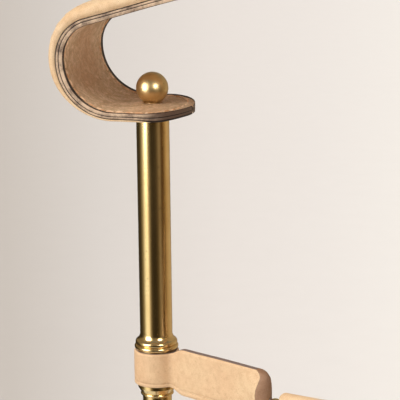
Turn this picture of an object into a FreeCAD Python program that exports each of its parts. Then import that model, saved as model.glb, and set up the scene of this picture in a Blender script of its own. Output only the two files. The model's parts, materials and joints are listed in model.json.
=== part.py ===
import FreeCAD, Part
import math
import os

from FreeCAD import Vector

# Music stand: a low brass and leather rack that holds sheet music upright. Two brass posts carry a
# padded leather carrying handle. Leather straps run from the posts to the side rails.
# Origin: centre of the footprint on the floor. X runs from post to post, +Z is up. Millimetres.
# The taller side rail is on the -Y side, and the lower one on the +Y side.

# Driving dimensions
TUBE_R = 8.0  # outer radius of the upper post tube
POST_X = 140.0  # the posts stand at x = -POST_X and +POST_X
TUBE_TOP = 350.0  # the handle's ends lie on the tubes at this height
STRAP_W = 57.4  # width of the handle
FOOT_Y = 96.0  # half the length of a cross foot
SIDE_DROP = 50.0  # the +Y rail and its straps sit this much lower

# Posts, from the top down
WALL = 1.2
FIT = 0.1  # radial gap of a spigot in its tube
ROD_R = 2.5
ROD_BORE_R = 2.75
TURN_BORE_R = 2.55  # bore of a finial, which turns on the tie rod
CAP_H = 2.0
SPIGOT_H = 6.0
UPPER_TUBE_L = 109.0
BELL_R = 10.3  # the upper ring flares out to this bell, with a smaller bead under it
BELL_H = 6.5
BEAD_R = 10.85
BEAD_H = 2.9
BEAD_STEP = 0.7  # a recess of this height parts the bead from the strap under it
GROOVE_R = 9.9
COLLAR_R = 9.4
COLLAR_H = 6.5
LOWER_R = 7.2  # outer radius of the tubes below the upper neck
NECK_R = 7.4
BAND_R = 11.2
BAND_H = 17.3
RING_H = BELL_H + BEAD_H
NECK_TOP = TUBE_TOP - UPPER_TUBE_L - RING_H
STRAP_Z = NECK_TOP - BAND_H / 2  # middle height of the -Y straps

# Ball finials
BALL_R = 7.8
BALL_Z = TUBE_TOP + 12.2
FINIAL_FOOT_R = 4.0
FINIAL_FOOT_Z = TUBE_TOP + 4.25

# Handle: its lining is the surface inside each curl, and its outer leather is domed over a pad
LINING_T = 2.6
END_T = 4.2
PAD_T = 10.2
CURL_X = -35.1  # the lining's furthest point from the post, outwards
CURL_LOW_R = 24.6
CURL_HIGH_R = 17.0
OUTER_CURL_X = -43.4
OUTER_LOW_R = 30.5
OUTER_HIGH_R = 26.0
RISE_ANGLE = math.radians(16.5)
RISE_FROM = (7.8, 54.8)  # where the straight rise ends, from the post's top
TIP_X = 20.3  # the strap end reaches this far past the post
TIP_ROUND = 19.0

# Straps from the posts to the rails
STRAP_ANGLE = math.radians(25.0)  # in plan, from the X axis
STRAP_T = 4.4
STRAP_H = 23.7
FLARE_FROM = 10.5
FLARE_TO = 18.7
FOLD_END = 73.0
FOLD_CORNER = 6.0
UPRIGHT_AT = 76.2
UPRIGHT_R = 2.4
UPRIGHT_SEAT = 2.0  # an upright ends this far below its base rail's axis
RAIL_AT = 83.0

# Leather covered side rails
RAIL_R = 3.5
RAIL_CORE_R = 1.6
RAIL_ANGLE = math.radians(17.5)  # direction in plan at the rail's ends
PIN_R = 1.0
PIN_BELOW = 2.3
PIN_FROM = 65.0
PIN_TO = 86.0

# Base
PAD_H = 1.5
PAD_R = 4.5
BALL_FOOT_R = 9.0
BALL_FOOT_NECK_R = 4.0
FOOT_W = 16.0
FOOT_H = 12.0
FOOT_Z = 19.0
STUD_R = 2.4
STUD_L = 8.0
SOCKET_H = 18.0
BASE_RAIL_R = 4.0
BASE_RAIL_Z = FOOT_Z + FOOT_H / 2
SHELF_X = 120.0
SHELF_Y = 43.0
SHELF_CORNER = 10.0
BOARD_T = 5.0
COVER_T = 1.5
SHELF_Z = BASE_RAIL_Z + BASE_RAIL_R
SHELF_TOP = SHELF_Z + BOARD_T + COVER_T
NUT_R = 5.0
NUT_H = 4.0
SCREW_R = 1.5
SCREW_HEAD_R = 3.0
SCREW_HEAD_H = 1.6
SHELF_SCREW_X = 42.0

UP = Vector(0, 0, 1)
ORIGIN = Vector(0, 0, 0)


def cylinder(x, y, low, high, radius):
    """An upright cylinder between two heights."""
    return Part.makeCylinder(radius, high - low, Vector(x, y, low), UP)


def lathe(x, y, start, *steps):
    """A turned solid at (x, y). A step is a line to (radius, z), or an arc through one point to another."""
    edges = []
    here = Vector(start[0], 0, start[1])
    for step in steps + (start,):
        there = Vector(step[-2], 0, step[-1])
        if len(step) == 4:
            edges.append(Part.Arc(here, Vector(step[0], 0, step[1]), there).toShape())
        elif here.distanceToPoint(there) > 1e-6:
            edges.append(Part.LineSegment(here, there).toShape())
        here = there
    solid = Part.Face(Part.Wire(edges)).revolve(ORIGIN, UP, 360)
    solid.translate(Vector(x, y, 0))
    return solid


def ball_arc(radius, centre_z, start, end):
    """The lathe step round a ball from one angle to another, both from straight down."""
    middle = (start + end) / 2
    return (
        radius * math.sin(middle),
        centre_z - radius * math.cos(middle),
        radius * math.sin(end),
        centre_z - radius * math.cos(end),
    )


def tube(x, low, high, radius):
    return cylinder(x, 0, low, high, radius).cut(cylinder(x, 0, low, high, radius - WALL))


def other_side(shape):
    """The same piece on the +X half."""
    return shape.mirror(ORIGIN, Vector(1, 0, 0))


def far_side(shape):
    """The same piece on the +Y half, for the lower rail."""
    moved = shape.mirror(ORIGIN, Vector(0, 1, 0))
    moved.translate(Vector(0, 0, -SIDE_DROP))
    return moved


def along_strap(distance, height):
    """The point at this distance from the left post, along its -Y strap."""
    x = -POST_X + distance * math.cos(STRAP_ANGLE)
    return Vector(x, -distance * math.sin(STRAP_ANGLE), height)


def finial(x):
    """A brass ball that screws down on the tie rod and clamps the handle."""
    foot_angle = math.asin(FINIAL_FOOT_R / BALL_R)
    return lathe(
        x,
        0,
        (TURN_BORE_R, FINIAL_FOOT_Z),
        (FINIAL_FOOT_R, FINIAL_FOOT_Z),
        (FINIAL_FOOT_R, BALL_Z - BALL_R * math.cos(foot_angle)),
        ball_arc(BALL_R, BALL_Z, foot_angle, math.pi),
        (0, BALL_Z + 3),
        (TURN_BORE_R, BALL_Z + 3),
    )


def tube_cap(x):
    """A chamfered cap that closes the upper tube."""
    chamfer = 0.6
    spigot_r = TUBE_R - WALL - FIT
    low = TUBE_TOP - CAP_H
    return lathe(
        x,
        0,
        (ROD_BORE_R, low - SPIGOT_H),
        (spigot_r, low - SPIGOT_H),
        (spigot_r, low),
        (TUBE_R, low),
        (TUBE_R, TUBE_TOP - chamfer),
        (TUBE_R - chamfer, TUBE_TOP),
        (ROD_BORE_R, TUBE_TOP),
    )


def upper_ring(x):
    """A turned ring under the upper tube, which flares out to a bell and ends in a bead."""
    spigot_r = TUBE_R - WALL - FIT
    top = NECK_TOP + RING_H
    groove = top - BELL_H
    step = NECK_TOP + BEAD_STEP
    return lathe(
        x,
        0,
        (ROD_BORE_R, top + SPIGOT_H),
        (spigot_r, top + SPIGOT_H),
        (spigot_r, top),
        (TUBE_R, top),
        (TUBE_R + 0.3, top - 2.4, TUBE_R + 1.3, top - 3.9),
        (BELL_R, groove + 1.5, GROOVE_R, groove),
        (BEAD_R, (groove + step) / 2, GROOVE_R, step),
        (GROOVE_R - 0.5, step),
        (GROOVE_R - 0.5, NECK_TOP),
        (ROD_BORE_R, NECK_TOP),
    )


def neck(x, top):
    return cylinder(x, 0, top - BAND_H, top, NECK_R).cut(
        cylinder(x, 0, top - BAND_H, top, ROD_BORE_R)
    )


def collar(x, wide_end, narrow_end):
    """A ring that tapers away from a strap's band, with a small bead and a spigot into the next tube."""
    way = math.copysign(1, narrow_end - wide_end)
    spigot_r = LOWER_R - WALL - FIT
    taper_end = narrow_end - way * 1.8
    bead_end = narrow_end - way * 0.4
    return lathe(
        x,
        0,
        (ROD_BORE_R, wide_end),
        (COLLAR_R, wide_end),
        (COLLAR_R, wide_end + way * 2.0),
        (LOWER_R + 1.2, (wide_end + taper_end) / 2 + way * 1.3, LOWER_R + 0.6, taper_end),
        (LOWER_R + 1.0, (taper_end + bead_end) / 2, LOWER_R, bead_end),
        (LOWER_R, narrow_end),
        (spigot_r, narrow_end),
        (spigot_r, narrow_end + way * SPIGOT_H),
        (ROD_BORE_R, narrow_end + way * SPIGOT_H),
    )


def strap():
    """The left post's -Y strap: a band round the neck and a doubled strap with a rounded fold."""
    band_half = BAND_H / 2
    half = STRAP_H / 2
    edge = ((0, band_half), (FLARE_FROM, band_half), (FLARE_TO, half), (FOLD_END, half))
    outline = [Vector(x, 0, STRAP_Z + z) for x, z in edge]
    outline += [Vector(x, 0, STRAP_Z - z) for x, z in reversed(edge)]
    flag = Part.Face(Part.makePolygon(outline + outline[:1])).extrude(Vector(0, STRAP_T, 0))
    corners = [e for e in flag.Edges if e.BoundBox.ZLength < 1e-6 and e.BoundBox.XMin > FOLD_END - 1e-6]
    flag = flag.makeFillet(FOLD_CORNER, corners)
    flag.translate(Vector(0, -STRAP_T / 2, 0))
    band = cylinder(0, 0, STRAP_Z - band_half, STRAP_Z + band_half, BAND_R)
    shape = band.fuse(flag).cut(cylinder(0, 0, STRAP_Z - half, STRAP_Z + half, NECK_R))
    shape.rotate(ORIGIN, UP, -math.degrees(STRAP_ANGLE))
    shape.translate(Vector(-POST_X, 0, 0))
    return shape.removeSplitter().cut(pin(PIN_R))


def pin(radius):
    """The cross pin that joins a strap's fold, the upright and the side rail."""
    start = along_strap(PIN_FROM, STRAP_Z - PIN_BELOW)
    end = along_strap(PIN_TO, STRAP_Z - PIN_BELOW)
    return Part.makeCylinder(radius, (end - start).Length, start, end - start)


def rail_rod(radius, short_by):
    """A round bar along the -Y rail's arc, stopping short of the rail's ends by an angle."""
    start = along_strap(RAIL_AT, STRAP_Z)
    bend = -start.x / math.sin(RAIL_ANGLE)
    centre = Vector(0, start.y + bend * math.cos(RAIL_ANGLE), STRAP_Z)
    tangent = Vector(math.cos(RAIL_ANGLE), -math.sin(RAIL_ANGLE), 0)
    disc = Part.Face(Part.Wire([Part.Circle(start, tangent, radius).toShape()]))
    disc.rotate(centre, UP, math.degrees(short_by))
    return disc.revolve(centre, UP, 2 * math.degrees(RAIL_ANGLE - short_by))


def rail_core():
    return rail_rod(RAIL_CORE_R, math.radians(1.4))


def rail_cover():
    """The rolled leather round the rail, with round ends."""
    shape = rail_rod(RAIL_R, 0)
    start = along_strap(RAIL_AT, STRAP_Z)
    for x in (start.x, -start.x):
        shape = shape.fuse(Part.makeSphere(RAIL_R, Vector(x, start.y, STRAP_Z)))
    return shape.cut(rail_core()).cut(pin(PIN_R)).cut(other_side(pin(PIN_R)))


def upright():
    """The left -Y upright: a thin rod with a collar on the shelf, and its lower end in the base rail."""
    at = along_strap(UPRIGHT_AT, 0)
    rod = lathe(
        at.x,
        at.y,
        (0, BASE_RAIL_Z - UPRIGHT_SEAT),
        (UPRIGHT_R, BASE_RAIL_Z - UPRIGHT_SEAT),
        (UPRIGHT_R, SHELF_TOP),
        (UPRIGHT_R + 1.6, SHELF_TOP),
        (UPRIGHT_R + 2.2, SHELF_TOP + 1.2, UPRIGHT_R, SHELF_TOP + 3),
        (UPRIGHT_R, STRAP_Z - 1.7),
        (UPRIGHT_R * 0.75, STRAP_Z - 1.15, 0, STRAP_Z - 1.0),
    )
    return rod.cut(pin(PIN_R))


def lower_upright():
    """The left +Y upright, which is shorter by the drop of the rail."""
    at = along_strap(UPRIGHT_AT, 0)
    whole = upright()
    cut_from = SHELF_TOP + 10
    stem = whole.common(cylinder(at.x, at.y, 0, cut_from, BAND_R))
    top = whole.common(cylinder(at.x, at.y, cut_from + SIDE_DROP, TUBE_TOP, BAND_R))
    top.translate(Vector(0, 0, -SIDE_DROP))
    return stem.fuse(top).removeSplitter().mirror(ORIGIN, Vector(0, 1, 0))


def curl_edges(bottom, curl_x, low_r, high_r, offset):
    """The handle's line from its left strap end to the middle, as edges from end to end."""
    turn = math.pi / 2 - RISE_ANGLE
    rise = Vector(math.cos(RISE_ANGLE), 0, math.sin(RISE_ANGLE))
    side = Vector(-math.sin(RISE_ANGLE), 0, math.cos(RISE_ANGLE))
    post = Vector(-POST_X, 0, TUBE_TOP)
    rise_end = post + Vector(RISE_FROM[0], 0, RISE_FROM[1]) + side * offset
    left = -POST_X + curl_x
    corner = Vector(left, 0, rise_end.z - (rise_end.x - left) * math.tan(RISE_ANGLE))
    reach = high_r * math.tan(turn / 2)
    flat_end = Vector(left + low_r, 0, TUBE_TOP + bottom)
    low_end = Vector(left, 0, flat_end.z + low_r)
    high_start = corner - Vector(0, 0, reach)
    high_end = corner + rise * reach
    bow = -rise_end.x / math.sin(RISE_ANGLE)
    crown = Vector(0, 0, rise_end.z + bow * (1 - math.cos(RISE_ANGLE)))
    half = RISE_ANGLE / 2
    bow_middle = crown + Vector(-bow * math.sin(half), 0, -bow * (1 - math.cos(half)))
    low_middle = Vector(left + low_r, 0, low_end.z) - Vector(1, 0, 1) * (low_r * math.sqrt(0.5))
    high_middle = high_start + Vector(high_r * (1 - math.cos(turn / 2)), 0, high_r * math.sin(turn / 2))
    return [
        Part.LineSegment(Vector(-POST_X + TIP_X + 3, 0, flat_end.z), flat_end).toShape(),
        Part.Arc(flat_end, low_middle, low_end).toShape(),
        Part.LineSegment(low_end, high_start).toShape(),
        Part.Arc(high_start, high_middle, high_end).toShape(),
        Part.LineSegment(high_end, rise_end).toShape(),
        Part.Arc(rise_end, bow_middle, crown).toShape(),
    ]


def handle_layer(inner, outer):
    """One layer of the handle between two lines, across the strap's width, with round ends."""
    inside = curl_edges(*inner)
    outside = curl_edges(*outer)
    tip = Part.LineSegment(inside[0].Vertexes[0].Point, outside[0].Vertexes[0].Point).toShape()
    crown = Part.LineSegment(inside[-1].Vertexes[-1].Point, outside[-1].Vertexes[-1].Point).toShape()
    outline = Part.Wire(Part.__sortEdges__(inside + outside + [tip, crown]))
    half = Part.Face(outline).extrude(Vector(0, STRAP_W, 0))
    half.translate(Vector(0, -STRAP_W / 2, 0))
    half = half.cut(end_trim()).cut(
        cylinder(-POST_X, 0, TUBE_TOP - 1, TUBE_TOP + END_T + 1, ROD_BORE_R)
    )
    return half.fuse(other_side(half)).removeSplitter()


def end_trim():
    """What is cut off the left strap end to leave it round."""
    centre = Vector(-POST_X + TIP_X - TIP_ROUND, 0, TUBE_TOP - 1)
    half = STRAP_W / 2
    block = Part.makeBox(TIP_ROUND + 6, STRAP_W + 2, END_T + 2, centre - Vector(0, half + 1, 0))
    ellipse = Part.Ellipse(centre + Vector(0, half, 0), centre + Vector(TIP_ROUND, 0, 0), centre)
    kept = Part.Face(Part.Wire([ellipse.toShape()])).extrude(Vector(0, 0, END_T + 2))
    return block.cut(kept)


def cross_foot(x):
    """A flat brass bar under a post, with round ends and seats for the nut, the studs and the screws."""
    reach = FOOT_Y - FOOT_W / 2
    bar = Part.makeBox(FOOT_W, 2 * reach, FOOT_H, Vector(x - FOOT_W / 2, -reach, FOOT_Z))
    for y in (-reach, reach):
        bar = bar.fuse(cylinder(x, y, FOOT_Z, FOOT_Z + FOOT_H, FOOT_W / 2))
    bar = bar.removeSplitter()
    rims = [e for e in bar.Edges if abs(e.BoundBox.ZMin - e.BoundBox.ZMax) < 1e-6]
    bar = bar.makeFillet(1.5, rims)
    bar = bar.cut(cylinder(x, 0, FOOT_Z, FOOT_Z + FOOT_H, ROD_BORE_R))
    bar = bar.cut(cylinder(x, 0, FOOT_Z, FOOT_Z + NUT_H + 1, NUT_R + 1))
    for y in (-reach, reach):
        bar = bar.cut(cylinder(x, y, FOOT_Z, FOOT_Z + STUD_L, STUD_R))
    for y in (rail_y(), -rail_y()):
        hole = Part.makeCylinder(SCREW_R, FOOT_W, Vector(x - FOOT_W / 2, y, BASE_RAIL_Z), Vector(1, 0, 0))
        bar = bar.cut(hole)
    return bar


def rail_y():
    """Where the uprights and the -Y base rail stand across the depth."""
    return along_strap(UPRIGHT_AT, 0).y


def ball_foot(x, y):
    neck_angle = math.pi - math.asin(BALL_FOOT_NECK_R / BALL_FOOT_R)
    flat_angle = math.asin(PAD_R / BALL_FOOT_R)
    centre = PAD_H + BALL_FOOT_R * math.cos(flat_angle)
    return lathe(
        x,
        y,
        (0, PAD_H),
        (PAD_R, PAD_H),
        ball_arc(BALL_FOOT_R, centre, flat_angle, neck_angle),
        (BALL_FOOT_NECK_R, FOOT_Z),
        (STUD_R, FOOT_Z),
        (STUD_R, FOOT_Z + STUD_L),
        (0, FOOT_Z + STUD_L),
    )


def base_socket(x):
    """A turned flange that the post's lowest tube stands on."""
    low = FOOT_Z + FOOT_H
    high = low + SOCKET_H
    spigot_r = LOWER_R - WALL - FIT
    return lathe(
        x,
        0,
        (ROD_BORE_R, low),
        (FOOT_W / 2 - 0.2, low),
        (FOOT_W / 2 + 2.0, low + 2.2, FOOT_W / 2, low + 4.4),
        (LOWER_R + 0.6, low + 9, LOWER_R + 1.0, high - 3),
        (LOWER_R + 2.2, high - 1.5, LOWER_R, high),
        (spigot_r, high),
        (spigot_r, high + SPIGOT_H),
        (ROD_BORE_R, high + SPIGOT_H),
    )


def tie_rod(x):
    """The steel rod that clamps the handle, the post's pieces and the cross foot together."""
    return cylinder(x, 0, FOOT_Z + 0.5, BALL_Z + 2, ROD_R)


def tie_nut(x):
    low = FOOT_Z + 0.8
    corners = [
        Vector(x + NUT_R * math.cos(a), NUT_R * math.sin(a), low)
        for a in (math.radians(60 * k) for k in range(7))
    ]
    prism = Part.Face(Part.makePolygon(corners)).extrude(Vector(0, 0, NUT_H))
    return prism.cut(cylinder(x, 0, low, low + NUT_H, ROD_R))


def base_rail():
    """The -Y rail between the cross feet, drilled for the uprights and the screws."""
    reach = POST_X - FOOT_W / 2
    y = rail_y()
    bar = Part.makeCylinder(BASE_RAIL_R, 2 * reach, Vector(-reach, y, BASE_RAIL_Z), Vector(1, 0, 0))
    x = along_strap(UPRIGHT_AT, 0).x
    for side in (-1, 1):
        bar = bar.cut(cylinder(side * x, y, BASE_RAIL_Z - UPRIGHT_SEAT, SHELF_Z + 1, UPRIGHT_R))
        bar = bar.cut(shelf_screw(side)).cut(rail_screw(side))
    return bar


def rail_screw(side):
    """A screw through a cross foot into the end of the -Y base rail."""
    outer = side * (POST_X + FOOT_W / 2)
    inward = Vector(-side, 0, 0)
    start = Vector(outer, rail_y(), BASE_RAIL_Z)
    shank = Part.makeCylinder(SCREW_R, FOOT_W + 9, start, inward)
    head = Part.makeCylinder(SCREW_HEAD_R, SCREW_HEAD_H, start - inward * SCREW_HEAD_H, inward)
    return shank.fuse(head)


def shelf_screw(side):
    """A screw up through the -Y base rail into the shelf board."""
    low = BASE_RAIL_Z - BASE_RAIL_R
    x = side * SHELF_SCREW_X
    shank = cylinder(x, rail_y(), low, SHELF_Z + BOARD_T - 1.5, SCREW_R)
    head = cylinder(x, rail_y(), low - SCREW_HEAD_H, low + 0.6, SCREW_HEAD_R - 0.6)
    return shank.fuse(head)


def shelf_slab(low, thickness, hole_r):
    """A flat layer of the shelf with round corners and holes for the uprights."""
    slab = Part.makeBox(
        2 * SHELF_X, 2 * SHELF_Y, thickness, Vector(-SHELF_X, -SHELF_Y, low)
    )
    corners = [e for e in slab.Edges if abs(e.BoundBox.ZLength - thickness) < 1e-6]
    slab = slab.makeFillet(SHELF_CORNER, corners)
    x = along_strap(UPRIGHT_AT, 0).x
    for hole_x in (-x, x):
        for hole_y in (rail_y(), -rail_y()):
            slab = slab.cut(cylinder(hole_x, hole_y, low - 1, low + thickness + 1, hole_r))
    return slab


def both_depths(shape):
    """A piece and its mirror image across the depth."""
    return [shape, shape.mirror(ORIGIN, Vector(0, 1, 0))]


def group(shapes):
    return Part.makeCompound(shapes)


def post_nodes(name, x):
    """Every piece of one post."""
    high_neck_end = NECK_TOP - BAND_H
    low_neck_top = NECK_TOP - SIDE_DROP
    low_neck_end = low_neck_top - BAND_H
    mid_top = high_neck_end - COLLAR_H
    mid_low = low_neck_top + COLLAR_H
    base_top = FOOT_Z + FOOT_H + SOCKET_H
    return {
        f"finial_{name}": finial(x),
        f"tube_cap_{name}": tube_cap(x),
        f"upper_tube_{name}": tube(x, TUBE_TOP - UPPER_TUBE_L, TUBE_TOP - CAP_H, TUBE_R),
        f"upper_ring_{name}": upper_ring(x),
        f"high_neck_{name}": neck(x, NECK_TOP),
        f"high_collar_{name}": collar(x, high_neck_end, mid_top),
        f"mid_tube_{name}": tube(x, mid_low, mid_top, LOWER_R),
        f"mid_collar_{name}": collar(x, low_neck_top, mid_low),
        f"low_neck_{name}": neck(x, low_neck_top),
        f"low_collar_{name}": collar(x, low_neck_end, low_neck_end - COLLAR_H),
        f"lower_tube_{name}": tube(x, base_top, low_neck_end - COLLAR_H, LOWER_R),
        f"base_socket_{name}": base_socket(x),
        f"cross_foot_{name}": cross_foot(x),
        f"tie_rod_{name}": tie_rod(x),
        f"tie_nut_{name}": tie_nut(x),
    }


def strap_nodes():
    """The straps, uprights, side rails and cross pins."""
    high_strap = strap()
    return {
        "high_strap_left": high_strap,
        "high_strap_right": other_side(high_strap),
        "low_strap_left": far_side(high_strap),
        "low_strap_right": other_side(far_side(high_strap)),
        "high_upright_left": upright(),
        "high_upright_right": other_side(upright()),
        "low_upright_left": lower_upright(),
        "low_upright_right": other_side(lower_upright()),
        "high_rail_core": rail_core(),
        "low_rail_core": far_side(rail_core()),
        "high_rail_cover": rail_cover(),
        "low_rail_cover": far_side(rail_cover()),
        "cross_pins": group(
            [
                pin(PIN_R),
                other_side(pin(PIN_R)),
                far_side(pin(PIN_R)),
                other_side(far_side(pin(PIN_R))),
            ]
        ),
    }


def handle_nodes():
    """The lining, which faces into the curls, and the domed outer leather."""
    lining_face = (END_T, CURL_X, CURL_LOW_R, CURL_HIGH_R, 0.0)
    joint = (
        END_T - LINING_T,
        CURL_X - LINING_T,
        CURL_LOW_R + LINING_T,
        CURL_HIGH_R + LINING_T,
        LINING_T,
    )
    outer_face = (0.0, OUTER_CURL_X, OUTER_LOW_R, OUTER_HIGH_R, PAD_T)
    return {
        "handle_lining": handle_layer(lining_face, joint),
        "handle_outer": handle_layer(joint, outer_face),
    }


def base_nodes():
    """The feet, base rails, shelf and screws."""
    reach = FOOT_Y - FOOT_W / 2
    places = [(x, y) for x in (-POST_X, POST_X) for y in (-reach, reach)]
    names = ("front_left", "back_left", "front_right", "back_right")
    nodes = {f"ball_foot_{n}": ball_foot(*place) for n, place in zip(names, places)}
    nodes["felt_pads"] = group([cylinder(x, y, 0, PAD_H, PAD_R) for x, y in places])
    nodes["base_rail_front"], nodes["base_rail_back"] = both_depths(base_rail())
    board = shelf_slab(SHELF_Z, BOARD_T, UPRIGHT_R + 0.3)
    shelf_screws = both_depths(shelf_screw(-1)) + both_depths(shelf_screw(1))
    for screw in shelf_screws:
        board = board.cut(screw)
    nodes["shelf_board"] = board
    nodes["shelf_cover"] = shelf_slab(SHELF_Z + BOARD_T, COVER_T, UPRIGHT_R + 0.3)
    nodes["shelf_screws"] = group(shelf_screws)
    nodes["rail_screws"] = group(both_depths(rail_screw(-1)) + both_depths(rail_screw(1)))
    return nodes


def main():
    os.makedirs("parts", exist_ok=True)
    nodes = {}
    for name, x in (("left", -POST_X), ("right", POST_X)):
        nodes.update(post_nodes(name, x))
    nodes.update(strap_nodes())
    nodes.update(handle_nodes())
    nodes.update(base_nodes())
    for name, shape in nodes.items():
        if not shape.isValid() or any(solid.Volume <= 0 for solid in shape.Solids):
            raise ValueError(f"{name} is not a valid solid")
        shape.exportStep(f"parts/{name}.step")
        print(name, len(shape.Solids), round(shape.Volume, 1))


main()
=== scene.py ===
import json
import math

import bmesh
import bpy
from mathutils import Matrix, Vector


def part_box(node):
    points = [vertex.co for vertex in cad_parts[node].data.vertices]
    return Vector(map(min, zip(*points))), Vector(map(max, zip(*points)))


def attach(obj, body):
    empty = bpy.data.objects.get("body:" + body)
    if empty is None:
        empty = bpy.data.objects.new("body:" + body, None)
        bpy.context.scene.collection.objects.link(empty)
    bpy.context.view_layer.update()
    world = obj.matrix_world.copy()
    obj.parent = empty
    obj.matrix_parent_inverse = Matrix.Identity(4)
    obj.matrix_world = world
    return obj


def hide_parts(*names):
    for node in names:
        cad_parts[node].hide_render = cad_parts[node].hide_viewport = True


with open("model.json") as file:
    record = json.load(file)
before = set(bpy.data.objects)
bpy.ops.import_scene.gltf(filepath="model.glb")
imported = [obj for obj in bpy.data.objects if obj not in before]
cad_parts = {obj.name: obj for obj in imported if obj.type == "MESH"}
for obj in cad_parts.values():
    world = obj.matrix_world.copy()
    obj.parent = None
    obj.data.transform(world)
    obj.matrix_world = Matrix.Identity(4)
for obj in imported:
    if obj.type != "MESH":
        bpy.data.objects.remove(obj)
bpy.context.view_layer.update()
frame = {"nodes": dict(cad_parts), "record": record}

# Lengths are millimetres in the CAD frame, apart from those that the studio section gives in metres.
# Pieces are scaled to metres as they are made.
MM = 0.001


def node_box(node):
    """A CAD node's lowest and highest corners, in millimetres."""
    return tuple(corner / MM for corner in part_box(node))


# Places read from the frame
TUBE_LOW, TUBE_HIGH = node_box("tube_cap_left")
POST_X = (TUBE_LOW.x + TUBE_HIGH.x) / -2
TUBE_TOP = TUBE_HIGH.z
BAND_LOW, BAND_HIGH = (corner.z for corner in node_box("high_neck_left"))
STRAP_Z = (BAND_LOW + BAND_HIGH) / 2
SIDE_DROP = node_box("high_rail_core")[0].z - node_box("low_rail_core")[0].z
SHELF_LOW, SHELF_HIGH = node_box("shelf_cover")

# Handle. Its line, its width and its thickness at the ends and the grip are as the CAD has them.
TIP_X = 20.3
TIP_ROUND = 19.0
STRAP_HALF = 28.7
END_T = 4.2
CURL_X = -35.1
CURL_LOW_R = 24.6
CURL_HIGH_R = 17.0
RISE_ANGLE = math.radians(16.5)
RISE_FROM = (7.8, 54.8)
CURL_T = 8.3
GRIP_T = 10.2
LINING_T = 0.55
EDGE_T = 2.8
RIM_RAISE = 0.35
OUTER_STITCH_IN = 4.2
LINING_STITCH_IN = 4.2
EDGE_INSET_AT_TIP = 0.55
PARED_T = 0.8
PARED_L = 14.0
CURL_FILLS_FROM = 36.0
FILL_L = 34.0
GRIP_LEAD = 26.0
FOOT_SWELL = 1.3
FOOT_SWELL_R = 11.0
FOOT_HOLE_R = 4.06
ROD_HOLE_R = 2.75
STATION_STEP = 1.3
TIP_STEPS = 16

# Straps
STRAP_ANGLE = math.radians(25.0)
STRAP_T = 4.4
BAND_R = 11.15
NECK_R = 7.4
STRAP_H = 23.7
FLARE_FROM = 10.0
FLARE_TO = 19.0
FOLD_END = 73.0
FOLD_CORNER = 6.0
FOLD_BULGE = 3.1
BULGE_L = 17.0
CREASE_R = 3.0
STRAP_STITCH_IN = 2.9

# Rails
RAIL_AT = 83.0
RAIL_R = 3.5
RAIL_ANGLE = math.radians(17.5)
RAIL_STEPS = 90
RAIL_SIDES = 28
RAIL_END_STEPS = 8
RAIL_SEAM = math.pi * 1.25  # the seam's place round the rail, from straight out and over the top

# Shelf
SHELF_CORNER_R = 10.0
SHELF_STITCH_IN = 3.6

# Stitches
STITCH_L = 3.8
STITCH_PITCH = 4.8
THREAD_R = 0.34
LINING_THREAD_R = 0.42
STRAP_THREAD_R = 0.3
RAIL_THREAD_R = 0.26
RAIL_STITCH_L = 2.2
RAIL_STITCH_PITCH = 3.4


def smooth(x):
    """0 below 0, 1 above 1, and a smooth step between."""
    x = min(max(x, 0.0), 1.0)
    return x * x * (3 - 2 * x)


def bell(x):
    return math.exp(-x * x)


# ---------------------------------------------------------------- meshes


def piece(name, points, faces, finishes, body="root", which=None):
    """A piece made of points in millimetres. which gives each face's finish, where there are several."""
    mesh = bpy.data.meshes.new(name)
    mesh.from_pydata([Vector(p) * MM for p in points], [], faces)
    for finish in finishes:
        mesh.materials.append(finish)
    if which:
        mesh.polygons.foreach_set("material_index", which)
    shaped = bmesh.new()
    shaped.from_mesh(mesh)
    bmesh.ops.recalc_face_normals(shaped, faces=shaped.faces)
    shaped.to_mesh(mesh)
    shaped.free()
    mesh.polygons.foreach_set("use_smooth", [True] * len(mesh.polygons))
    obj = bpy.data.objects.new(name, mesh)
    bpy.context.scene.collection.objects.link(obj)
    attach(obj, body)
    return obj


def loft(rings, closed=False):
    """Points and faces of a skin over rings with equal counts, capped at both ends unless it is closed."""
    count = len(rings[0])
    points = [p for ring in rings for p in ring]
    faces = []
    last = len(rings) if closed else len(rings) - 1
    for i in range(last):
        here, there = i * count, (i + 1) % len(rings) * count
        for j in range(count):
            k = (j + 1) % count
            faces.append((here + j, here + k, there + k, there + j))
    if not closed:
        faces.append(tuple(range(count)))
        faces.append(tuple((len(rings) - 1) * count + j for j in range(count)))
    return points, faces


def join(shells):
    """Several (points, faces) shells as one."""
    points, faces = [], []
    for shell_points, shell_faces in shells:
        start = len(points)
        points += shell_points
        faces += [tuple(start + i for i in face) for face in shell_faces]
    return points, faces


def stitch(centre, along, across, out, length=STITCH_L, radius=THREAD_R):
    """One thread stitch: a short rope with ends that dip into the leather."""
    rings = []
    for t in (-0.5, -0.42, -0.28, 0.0, 0.28, 0.42, 0.5):
        swell = math.sqrt(max(1 - (2 * t) ** 4, 0.02))
        dip = 0.55 * radius * (1 - swell)
        middle = centre + along * (t * length) - out * dip
        rings.append(
            [
                middle
                + (across * math.cos(a) + out * math.sin(a)) * (radius * (0.45 + 0.55 * swell))
                for a in (math.tau * k / 8 for k in range(8))
            ]
        )
    return loft(rings)


# ---------------------------------------------------------------- materials


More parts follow.
